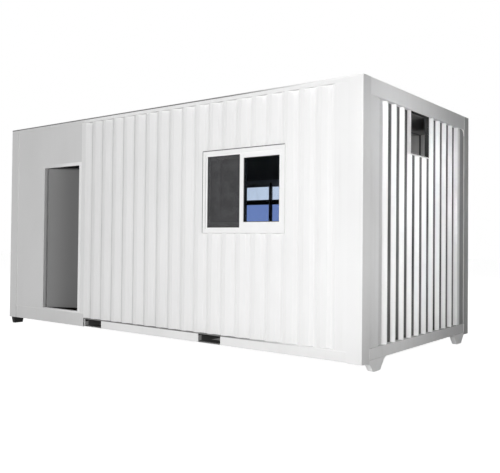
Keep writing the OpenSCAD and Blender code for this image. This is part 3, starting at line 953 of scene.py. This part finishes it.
@dataclass
class FrameTrim:
    """Weld beads on the steel frame, fillets below its headers and sealant along its top edges."""

    edge_height: float = 0.014
    edge_drop: float = 0.002
    edge_proud: float = 0.003
    edge_end: float = 0.010
    weld: float = 0.004
    weld_ripple: float = 0.16
    foot_heel: float = 0.165
    foot_reach: float = 0.525
    block_start: float = 0.045
    block_width: float = 0.162
    fillet_radius: float = 0.085
    fillet_setback: float = 0.001

    def top_edges(self) -> None:
        """Lays a dark strip of sealant along the top of both sides, turning to wall white towards the right
        end as painted light.
        """
        low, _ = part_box("corner_post_front_left")
        _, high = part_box("corner_post_back_right")
        piece = Piece("top_edge_sealant")
        top = high.z - self.edge_drop
        for face, out in ((low.y, -self.edge_proud), (high.y, self.edge_proud)):
            near, far = sorted((face - 0.5 * out, face + out))
            piece.bar((low.x + self.edge_end, near, top - self.edge_height),
                      (high.x - self.edge_end, far, top))
        # Dark, turning to wall white towards the right end as painted light.
        piece.finish(EDGE_SEALANT_AND_SHADOW, "cabin", "frame_paint")

    def welds(self) -> None:
        """Lays weld beads where the sills, headers and feet meet the posts and sills."""
        piece = Piece("frame_welds")
        for name in ("end_sills", "end_headers"):
            low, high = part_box(name)
            for x in (low.x, high.x):
                for y in (low.y, high.y):
                    piece.bead((x, y, low.z + self.weld), (x, y, high.z - self.weld), self.weld,
                               self.weld_ripple)
        low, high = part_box("end_sills")
        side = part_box("corner_post_back_right")[1].y
        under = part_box("bottom_rail_front")[0].z
        block_end = self.block_start + self.block_width
        for x, z, start, end in ((high.x, low.z, self.foot_heel, self.foot_reach),
                                 (low.x, under, self.block_start, block_end)):
            for sign in (-1.0, 1.0):
                piece.bead((x, sign * (side - start), z), (x, sign * (side - end), z), self.weld,
                           self.weld_ripple)
        piece.finish(FRAME_PAINT, "cabin", "frame_paint", True)

    def fillets(self) -> None:
        """Rounds the inner corners between the headers and the posts."""
        low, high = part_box("end_headers")
        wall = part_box("right_end_wall_front")[1].x
        piece = Piece("header_fillets")
        for end in (low.x, high.x):
            x = end - math.copysign(self.fillet_setback, end)
            depth = math.copysign(abs(x) - wall, -end)
            for y, across in ((low.y, 1.0), (high.y, -1.0)):
                piece.fillet((x, y, low.z), across, depth, self.fillet_radius)
        piece.finish(FRAME_PAINT, "cabin", "frame_paint")

    def build(self) -> None:
        """Builds the trim."""
        self.top_edges()
        self.welds()
        self.fillets()


@dataclass
class SheetSeams:
    """Sealant between the wall sheets, the posts and the rails, and on the roof, with a dark flashing as
    painted shadow under the side sheets.
    """

    bead: float = 0.003
    bead_foot: float = 0.060
    bead_head: float = 0.005
    kick_end: float = 0.004
    lip: float = 0.014
    lip_thick: float = 0.006
    web_thick: float = 0.003
    web_lap: float = 0.001
    flashing_drop: float = 0.0003
    flashing_end: float = 0.002
    roof_bead: float = 0.004
    lap_width: float = 0.016
    lap_rise: float = 0.0012
    lap_sink: float = 0.001
    lap_end: float = 0.005
    fine_edge: float = 0.0005
    pitch: float = 0.209
    crest: float = 0.091
    sheets: int = 4

    def walls(self) -> None:
        """Runs beads down the joints of the sheets with the posts."""
        piece = Piece("wall_seams")
        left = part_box("corner_post_front_left")[1].x
        low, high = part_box("back_wall")
        for face in (-high.y, high.y):
            for x in (left, -left):
                piece.bead((x, face, low.z + self.bead_foot), (x, face, high.z - self.bead_head), self.bead)
        low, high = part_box("door_kick_plate")
        piece.bead((low.x + self.kick_end, low.y, high.z), (high.x - self.kick_end, low.y, high.z),
                   self.bead)
        piece.finish(PALE_SEALANT, "cabin", "wall_paint", True)

    def flashings(self) -> None:
        """Closes the gap under the side sheets with a lipped strip along each bottom rail, dark as a painted
        shadow under the sheets' overhang.
        """
        low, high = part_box("back_wall")
        rail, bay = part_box("bottom_rail_back")[1].y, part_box("door_kick_plate")[1].x
        piece = Piece("foot_flashing")
        top, right = low.z - self.flashing_drop, high.x - self.flashing_end
        web_end = high.y - self.lip_thick + self.web_lap
        for sign, start in ((-1.0, bay + self.flashing_end), (1.0, low.x + self.flashing_end)):
            near, far = sorted((sign * (high.y - self.lip_thick), sign * high.y))
            piece.bar((start, near, top - self.lip), (right, far, top))
            near, far = sorted((sign * (rail - SINK), sign * web_end))
            piece.bar((start, near, top - self.web_thick), (right, far, top), self.fine_edge)
        # Dark as a painted shadow under the sheets' overhang, turning to wall white towards the right end as
        # painted light.
        piece.finish(EDGE_SEALANT_AND_SHADOW, "cabin", "wall_paint")

    def roof(self) -> None:
        """Seals the roof sheet's edges and marks the laps between its sheets."""
        low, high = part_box("roof_sheet")
        piece = Piece("roof_seams")
        for y in (low.y, high.y):
            piece.bead((low.x, y, high.z), (high.x, y, high.z), self.roof_bead)
        for x in (low.x, high.x):
            piece.bead((x, low.y, high.z), (x, high.y, high.z), self.roof_bead)
        count = round((high.x - low.x) / self.pitch)
        first = (low.x + high.x - (count - 1) * self.pitch - self.crest) / 2
        half = self.lap_width / 2
        for lap in range(1, self.sheets):
            x = first + self.pitch * round(lap * count / self.sheets)
            piece.bar((x - half, low.y + self.lap_end, high.z - self.lap_sink),
                      (x + half, high.y - self.lap_end, high.z + self.lap_rise), self.fine_edge)
        piece.finish(PALE_SEALANT, "cabin", "roof_paint")

    def build(self) -> None:
        """Builds the seams."""
        self.walls()
        self.flashings()
        self.roof()


@dataclass
class WindowTrim:
    """Sealant, gaskets, glazing bars, brush seals and pulls of the two sliding windows."""

    nodes: dict[str, bpy.types.Object]
    sealant: float = 0.011
    sealant_foot: float = 0.0066
    sealant_setback: float = 0.001
    sealant_back: float = 0.013
    sealant_round: float = 0.003
    gasket: float = 0.007
    gasket_depth: float = 0.003
    screen_gasket: float = 0.0056
    bar_height: float = 0.080
    bar_depth: float = 0.008
    bar_end: float = 0.001
    edge_round: float = 0.002
    brush_width: float = 0.016
    brush_proud: float = 0.0015
    brush_end: float = 0.004
    pull_width: float = 0.012
    pull_height: float = 0.120
    pull_depth: float = 0.006
    pull_inset: float = 0.017
    grip_width: float = 0.006
    grip_height: float = 0.096
    grip_start: float = 0.004
    grip_end: float = 0.010

    def frame_sealant(self) -> None:
        """Seals the frames to the wall, with a painted shadow along the top and the left side and pale
        sealant along the foot and the right side.
        """
        dark, pale = Piece("window_sealant_shadow"), Piece("window_sealant_foot")
        width, foot = self.sealant, self.sealant_foot
        for low, high in solids(self.nodes["window_frames"]):
            out = -1.0 if low.y < 0.0 else 1.0
            face = low.y if out < 0.0 else high.y
            near, far = sorted((face - out * self.sealant_setback, face - out * self.sealant_back))
            # Painted shadow along the top and the left side of each frame.
            dark.bar((low.x - width, near, high.z - SINK), (high.x, far, high.z + width),
                     self.sealant_round)
            dark.bar((low.x - width, near, low.z), (low.x + SINK, far, high.z - 2 * SINK),
                     self.sealant_round)
            # Pale sealant along the foot and the right side.
            pale.bar((low.x - width, near, low.z - foot), (high.x, far, low.z + SINK), self.edge_round)
            pale.bar((high.x - SINK, near, low.z - foot), (high.x + foot, far, high.z + foot),
                     self.edge_round)
        dark.finish(SEALANT_SHADOW, "cabin", "window_paint")
        pale.finish(PALE_SEALANT, "cabin", "window_paint")

    def gaskets(self) -> None:
        """Lays rubber round both faces of every pane and round the fly screen."""
        piece = Piece("pane_gaskets")
        for low, high in solids(self.nodes["window_panes"]):
            for face, depth in ((low.y, -self.gasket_depth), (high.y, self.gasket_depth)):
                piece.ring(Axis.ACROSS, face, depth, (low.x, low.z), (high.x, high.z), self.gasket)
        for low, high in solids(self.nodes["window_screen_mesh"]):
            piece.ring(Axis.ACROSS, low.y, -self.gasket_depth, (low.x, low.z), (high.x, high.z),
                       self.screen_gasket)
        piece.finish(SEAL, "cabin", "window_paint")

    def glazing_bars(self) -> None:
        """Puts a bar across the panes of the back window, on both faces."""
        piece = Piece("glazing_bars")
        for low, high in solids(self.nodes["window_panes"]):
            if low.y > 0.0:
                for start, end in ((high.y - SINK, high.y + self.bar_depth),
                                   (low.y - self.bar_depth, low.y + SINK)):
                    piece.bar((low.x + self.bar_end, start, BAR_LOW),
                              (high.x - self.bar_end, end, BAR_LOW + self.bar_height), self.edge_round)
        piece.finish(BAR_PAINT, "cabin", "window_paint")

    def _sashes(self) -> list[tuple[Box, Box]]:
        """Lists each sash with the other sash of its window.

        Returns:
            The boxes of both.
        """
        found = solids(self.nodes["window_sashes"])
        return [(own, mate) for own in found for mate in found
                if (mate[0].y < 0.0) == (own[0].y < 0.0) and mate[0].x != own[0].x]

    def brushes(self) -> None:
        """Wraps a dark brush seal round the meeting edge of each window's inner sash."""
        piece = Piece("sash_brushes")
        for (low, high), mate in self._sashes():
            if abs(mate[0].y + mate[1].y) < abs(low.y + high.y):
                continue
            edge, into = (high.x, -1.0) if mate[0].x > low.x else (low.x, 1.0)
            left, right = sorted((edge - into * self.brush_proud, edge + into * self.brush_width))
            piece.bar((left, low.y - self.brush_proud, low.z + self.brush_end),
                      (right, high.y + self.brush_proud, high.z - self.brush_end))
        piece.finish(SEAL, "cabin", "window_paint")

    def pulls(self) -> None:
        """Puts a plate with a grip on the room side of every sash."""
        piece = Piece("sash_pulls")
        for (low, high), mate in self._sashes():
            x = low.x + self.pull_inset if low.x < mate[0].x else high.x - self.pull_inset
            face, into = (high.y, 1.0) if low.y < 0.0 else (low.y, -1.0)
            z = (low.z + high.z) / 2
            for start, end, width, height in (
                    (-SINK, self.pull_depth, self.pull_width, self.pull_height),
                    (self.grip_start, self.grip_end, self.grip_width, self.grip_height)):
                near, far = sorted((face + into * start, face + into * end))
                piece.bar((x - width / 2, near, z - height / 2), (x + width / 2, far, z + height / 2),
                          self.edge_round)
        piece.finish(ALUMINIUM, "cabin", "window_paint")

    def build(self) -> None:
        """Builds the trim."""
        self.frame_sealant()
        self.gaskets()
        self.glazing_bars()
        self.brushes()
        self.pulls()


# Pairs of radius and height of a lock's round plate with its cylinder, from the plate's foot.
LOCK_PROFILE = (
    (0.0, -SINK), (0.024, -SINK), (0.024, 0.003), (0.022, 0.0045), (0.0135, 0.0045), (0.0125, 0.0035),
    (0.0085, 0.0035), (0.0085, 0.0085), (0.0075, 0.0095), (0.0022, 0.0095), (0.0018, 0.0080),
    (0.0, 0.0080),
)


@dataclass
class DoorTrim:
    """The door's seal, threshold strip and lock."""

    hinge: Point
    ajar: float
    frame_face: float = 0.045
    lap: float = 0.015
    seal_gap: float = 0.005
    seal_width: float = 0.009
    seal_depth: float = 0.003
    seal_sink: float = 0.0003
    seal_inset: float = 0.003
    seal_foot: float = 0.090
    seal_head: float = 0.002
    leaf_depth: float = 0.040
    free_gap: float = 0.007
    backset: float = 0.070
    lock_height: float = 1.215
    threshold_top: float = 0.298
    tread_end: float = 0.006
    tread_front: float = 0.006
    tread_back: float = 0.004
    tread_thick: float = 0.0008
    tread_round: float = 0.0003
    ribs: int = 4
    rib_end: float = 0.004
    rib_width: float = 0.0036
    rib_rise: float = 0.0016
    rib_round: float = 0.0004

    def seal(self) -> None:
        """Runs a rubber seal round the stop that the leaf closes on."""
        low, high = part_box("door_frame")
        stop = low.y + self.frame_face
        left, right = low.x + self.frame_face, high.x - self.frame_face
        top = high.z - self.frame_face
        piece = Piece("door_seal")
        start, back = stop - self.seal_sink, stop + self.seal_depth
        reach = self.lap - self.seal_inset
        for x in (left - reach, right + reach - self.seal_width):
            piece.bar((x, start, low.z + self.seal_foot), (x + self.seal_width, back, top + reach))
        head = top + self.seal_head
        piece.bar((left, start, head), (right, back, head + self.seal_width))
        piece.finish(SEAL, "cabin", "door_paint")

    def threshold(self) -> None:
        """Lays a ribbed metal strip on the threshold."""
        low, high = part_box("door_frame")
        margin, top = self.frame_face + self.tread_end, self.threshold_top
        left, right = low.x + margin, high.x - margin
        piece = Piece("threshold_strip")
        front, back = low.y + self.tread_front, low.y + self.frame_face - self.tread_back
        piece.bar((left, front, top - SINK), (right, back, top + self.tread_thick), self.tread_round)
        pitch = (back - front) / self.ribs
        for rib in range(self.ribs):
            y = front + pitch * (rib + 0.5)
            piece.bar((left + self.rib_end, y - self.rib_width / 2, top + SINK),
                      (right - self.rib_end, y + self.rib_width / 2, top + self.rib_rise), self.rib_round)
        piece.finish(ALUMINIUM, "cabin", "door_paint")

    def lock(self) -> None:
        """Fits a lock cylinder with a round plate on each face of the leaf, below the lever."""
        low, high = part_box("door_frame")
        outer = low.y + self.frame_face + self.seal_gap
        x = high.x - self.frame_face + self.lap - self.free_gap - self.backset
        piece = Piece("door_lock")
        piece.turned(LOCK_PROFILE, (x, outer, self.lock_height), Axis.ACROSS, -1.0)
        piece.turned(LOCK_PROFILE, (x, outer + self.leaf_depth, self.lock_height), Axis.ACROSS)
        piece.swing(self.hinge, self.ajar)
        piece.finish(ALUMINIUM, "door", "handle_metal", True)

    def build(self) -> None:
        """Builds the trim."""
        self.seal()
        self.threshold()
        self.lock()


@dataclass
class VentTrim:
    """A painted trim round the square opening in the right-hand end."""

    width: float = 0.014
    top_width: float = 0.007
    proud: float = 0.003
    web: float = 0.003
    web_start: float = 0.004

    def build(self) -> None:
        """Builds the trim: four strips on the sheet and four webs between it and the sleeve."""
        low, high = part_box("vent_sleeve_frame")
        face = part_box("right_end_wall_front")[1].x
        start, end = face - SINK, face + self.proud
        foot, head = low.z - self.width, high.z + self.top_width
        piece = Piece("vent_trim")
        for y in (low.y - self.width, high.y):
            piece.bar((start, y, foot), (end, y + self.width, head))
        for bottom, top in ((foot, low.z), (high.z, head)):
            piece.bar((start, low.y, bottom), (end, high.y, top))
        deep, web = low.x + self.web_start, self.web
        for y in (low.y - web, high.y):
            piece.bar((deep, y, low.z - web), (start, y + web, high.z + web))
        for z in (low.z - web, high.z):
            piece.bar((deep, low.y, z), (start, high.y, z + web))
        piece.finish(TRIM_PAINT, "cabin", "wall_paint")


@dataclass
class RoomTrim:
    """Joint strips and skirting on the lining boards."""

    nodes: dict[str, bpy.types.Object]
    strip: float = 0.025
    rise: float = 0.003
    first: float = 2.385
    pitch: float = 1.2
    skirting: float = 0.070
    skirting_depth: float = 0.012
    skirting_round: float = 0.003
    door_gap: float = 0.012

    def _joints(self, low: float, high: float, openings: list[Box]) -> list[float]:
        """Lists the board joints along the cabin that miss the openings.

        Args:
            low: Where the boards start.
            high: Where they end.
            openings: The openings' frames.

        Returns:
            The places of the joints.
        """
        places = [self.first - self.pitch * step for step in range(int((high - low) / self.pitch) + 1)]
        return [x for x in places if low + self.strip < x < high - self.strip
                and all(x + self.strip < start.x or x - self.strip > end.x for start, end in openings)]

    def strips(self) -> None:
        """Covers the board joints on the walls and the ceiling."""
        piece = Piece("joint_strips")
        half = self.strip / 2
        floor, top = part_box("floor_deck")[1].z + self.skirting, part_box("ceiling_lining")[0].z
        back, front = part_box("back_lining")[0].y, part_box("front_lining")[1].y
        left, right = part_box("left_lining")[1].x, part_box("right_lining")[0].x
        windows = solids(self.nodes["window_frames"])
        behind = [box for box in windows if box[0].y > 0.0]
        ahead = [box for box in windows if box[0].y < 0.0]
        for x in self._joints(left, right, behind):
            piece.bar((x - half, back - self.rise, floor), (x + half, back + SINK, top))
        for x in self._joints(left, right, [*ahead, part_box("door_frame")]):
            piece.bar((x - half, front - SINK, floor), (x + half, front + self.rise, top))
        for x in self._joints(left, right, []):
            piece.bar((x - half, front + self.rise, top - self.rise),
                      (x + half, back - self.rise, top + SINK))
        for y in (-self.pitch / 2, self.pitch / 2):
            piece.bar((left - SINK, y - half, floor), (left + self.rise, y + half, top))
        piece.finish(TRIM, "cabin", "lining")

    def skirtings(self) -> None:
        """Runs skirting along the foot of the walls."""
        piece = Piece("skirting")
        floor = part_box("floor_deck")[1].z
        top, depth = floor + self.skirting, self.skirting_depth
        back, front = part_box("back_lining")[0].y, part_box("front_lining")[1].y
        left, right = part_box("left_lining")[1].x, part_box("right_lining")[0].x
        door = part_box("door_frame")
        runs = (
            ((left, back - depth), (right, back + SINK)),
            ((left, front - SINK), (door[0].x - self.door_gap, front + depth)),
            ((door[1].x + self.door_gap, front - SINK), (right, front + depth)),
            ((left - SINK, front + depth), (left + depth, back - depth)),
            ((right - depth, front + depth), (right + SINK, back - depth)),
        )
        for low, high in runs:
            piece.bar((*low, floor), (*high, top), self.skirting_round)
        piece.finish(TRIM, "cabin", "lining")

    def build(self) -> None:
        """Builds the trim."""
        self.strips()
        self.skirtings()


@dataclass(frozen=True)
class Lamp:
    """A soft square lamp that is aimed at a point."""

    name: str
    energy: float
    size: float
    place: Point
    target: Point
    spread: float = 180.0

    def hang(self) -> None:
        """Puts the lamp in the scene."""
        data = bpy.data.lights.new(self.name, "AREA")
        data.energy = self.energy
        data.size = self.size
        data.spread = math.radians(self.spread)
        obj = bpy.data.objects.new(self.name, data)
        bpy.context.scene.collection.objects.link(obj)
        obj.location = self.place
        aim = Vector(self.target) - Vector(self.place)
        obj.rotation_euler = aim.to_track_quat("-Z", "Y").to_euler()
        obj.visible_camera = False
        obj.visible_transmission = False


@dataclass
class Stage:
    """The floor, the light and the camera."""

    floor_size: float = 80.0
    floor_drop: float = 0.001
    floor_tone: float = 0.6
    floor_roughness: float = 0.9
    floor_shade: float = 0.3
    floor_glow: float = 0.98
    # Painted shadow under the cabin: the floor's glow there, and where it fades along and across.
    floor_shadow_glow: float = 0.12
    shadow_along: tuple[float, float] = (2.55, 2.7)
    shadow_across: tuple[float, float] = (0.84, 0.90)
    fill: float = 0.02
    eye: Point = (6.0949, -7.2154, 1.3256)
    yaw: float = -0.66009
    pitch: float = 0.01864
    roll: float = 0.00970
    sensor: float = 36.0
    focal_px: float = 656.96
    picture_px: float = 500.0
    shift: float = -0.0199
    sight: float = 200.0
    lamps: tuple[Lamp, ...] = (
        Lamp("front", 3000.0, 3.0, (2.5, -28.0, 3.5), (0.8, -1.4, 1.4)),
        Lamp("far", 7000.0, 6.0, (18.6, -60.0, 6.0), (0.8, -1.4, 1.4)),
        Lamp("near", 106.0, 1.2, (4.2, -7.6, 2.4), (2.0, -1.4, 1.4)),
        Lamp("key", 38.0, 1.2, (6.6, -7.9, 2.3), (1.5, -1.4, 1.4)),
        Lamp("side", 25.5, 0.8, (5.5, -1.3, 1.8), (3.0, -0.6, 1.3)),
        Lamp("vent", 3.44, 0.3, (6.9, -5.8, 3.2), (3.0, 0.2, 2.4), 20.0),
        Lamp("end", 1.6, 0.3, (6.9, -5.8, 1.2), (3.0, 0.2, 1.0), 20.0),
        Lamp("room", 0.44, 0.3, (2.5, 0.75, 2.4), (2.3, 1.38, 2.55), 100.0),
        Lamp("back", 1200.0, 4.0, (-8.0, 12.0, 4.0), (-1.0, 1.4, 1.4)),
        Lamp("top", 450.0, 5.0, (0.0, 0.0, 13.0), (0.0, 0.0, 2.9)),
    )

    def floor(self) -> None:
        """Lays a plain pale floor that keeps the cabin's shadow, with a painted shadow under the cabin where
        its glow is turned down.
        """
        mesh = bmesh.new()
        bmesh.ops.create_grid(mesh, x_segments=2, y_segments=2, size=self.floor_size / 2)
        bmesh.ops.translate(mesh, verts=mesh.verts[:], vec=(0.0, 0.0, -self.floor_drop))
        data = bpy.data.meshes.new("floor")
        mesh.to_mesh(data)
        mesh.free()
        obj = bpy.data.objects.new("floor", data)
        bpy.context.scene.collection.objects.link(obj)
        graph = Graph("floor_paint")
        graph.plain("Base Color", (*grey(self.floor_tone), 1.0))
        graph.plain("Roughness", self.floor_roughness)
        graph.plain("Specular IOR Level", 0.0)
        shade = graph.node("ShaderNodeBsdfDiffuse")
        shade.inputs["Color"].default_value = (*grey(self.floor_shade), 1.0)
        glow = graph.node("ShaderNodeEmission")
        # Painted shadow: the floor's glow is turned down inside the cabin's footprint.
        along, across = (graph.ramp(graph.maths("ABSOLUTE", graph.place(axis)), *span, 1.0, 0.0)
                         for axis, span in ((Axis.ALONG, self.shadow_along),
                                            (Axis.ACROSS, self.shadow_across)))
        under = graph.maths("MULTIPLY", along, across)
        graph.link(graph.ramp(under, 0.0, 1.0, self.floor_glow, self.floor_shadow_glow),
                   glow.inputs["Strength"])
        seen = graph.node("ShaderNodeAddShader")
        graph.link(shade.outputs[0], seen.inputs[0])
        graph.link(glow.outputs[0], seen.inputs[1])
        mix = graph.node("ShaderNodeMixShader")
        graph.link(self._seen(graph.tree), mix.inputs["Fac"])
        graph.link(graph.shader.outputs["BSDF"], mix.inputs[1])
        graph.link(seen.outputs[0], mix.inputs[2])
        graph.link(mix.outputs[0], graph.output.inputs["Surface"])
        data.materials.append(graph.material)

    def _seen(self, tree: bpy.types.NodeTree) -> Socket:
        """Finds the rays that the camera sees, straight, mirrored or through glass.

        Args:
            tree: The nodes to add to.

        Returns:
            A value of 1 for those rays.
        """
        path = tree.nodes.new("ShaderNodeLightPath")
        total = path.outputs["Is Camera Ray"]
        for name in ("Is Glossy Ray", "Is Transmission Ray"):
            node = tree.nodes.new("ShaderNodeMath")
            node.operation = "MAXIMUM"
            tree.links.new(total, node.inputs[0])
            tree.links.new(path.outputs[name], node.inputs[1])
            total = node.outputs[0]
        return total

    def world(self) -> None:
        """Sets an even pale surround that the camera sees as white."""
        world = bpy.data.worlds.new("surround")
        bpy.context.scene.world = world
        world.use_nodes = True
        tree = world.node_tree
        tree.nodes.clear()
        mix = tree.nodes.new("ShaderNodeMixShader")
        for strength, socket in ((self.fill, mix.inputs[1]), (1.0, mix.inputs[2])):
            shader = tree.nodes.new("ShaderNodeBackground")
            shader.inputs["Color"].default_value = (1.0, 1.0, 1.0, 1.0)
            shader.inputs["Strength"].default_value = strength
            tree.links.new(shader.outputs[0], socket)
        output = tree.nodes.new("ShaderNodeOutputWorld")
        tree.links.new(self._seen(tree), mix.inputs["Fac"])
        tree.links.new(mix.outputs[0], output.inputs["Surface"])

    def lights(self) -> None:
        """Hangs the lamps: broad ones in front, behind and above, small ones for the near corner and end."""
        for lamp in self.lamps:
            lamp.hang()

    def camera(self) -> None:
        """Sets the camera at the photograph's viewing angle."""
        data = bpy.data.cameras.new("camera")
        data.sensor_width = self.sensor
        data.lens = self.focal_px * self.sensor / self.picture_px
        data.shift_y = self.shift
        data.clip_end = self.sight
        level = math.cos(self.pitch)
        forward = Vector((math.sin(self.yaw) * level, math.cos(self.yaw) * level, math.sin(self.pitch)))
        right = Vector((math.cos(self.yaw), -math.sin(self.yaw), 0.0))
        up = right.cross(forward)
        side = math.cos(self.roll) * right + math.sin(self.roll) * up
        top = -math.sin(self.roll) * right + math.cos(self.roll) * up
        obj = bpy.data.objects.new("camera", data)
        bpy.context.scene.collection.objects.link(obj)
        turn = Matrix((side, top, -forward)).transposed().to_4x4()
        obj.matrix_world = Matrix.Translation(self.eye) @ turn
        bpy.context.scene.camera = obj

    def build(self) -> None:
        """Builds the whole stage."""
        self.floor()
        self.world()
        self.lights()
        self.camera()
        bpy.context.scene.view_settings.view_transform = "Standard"


def main() -> None:
    """Builds the pieces in order, logging each piece's face count and each node's material."""
    logging.basicConfig(level=logging.INFO, format="%(message)s")
    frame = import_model()
    nodes = frame["nodes"]
    joint = frame["record"]["behaviour"]["joints"][0]
    Shell(nodes).dress()
    FrameTrim().build()
    SheetSeams().build()
    WindowTrim(nodes).build()
    DoorTrim(tuple(joint["pos_m"]), math.radians(-joint["range_deg"][0])).build()
    VentTrim().build()
    RoomTrim(nodes).build()
    Stage().build()


if __name__ == "__main__":
    main()
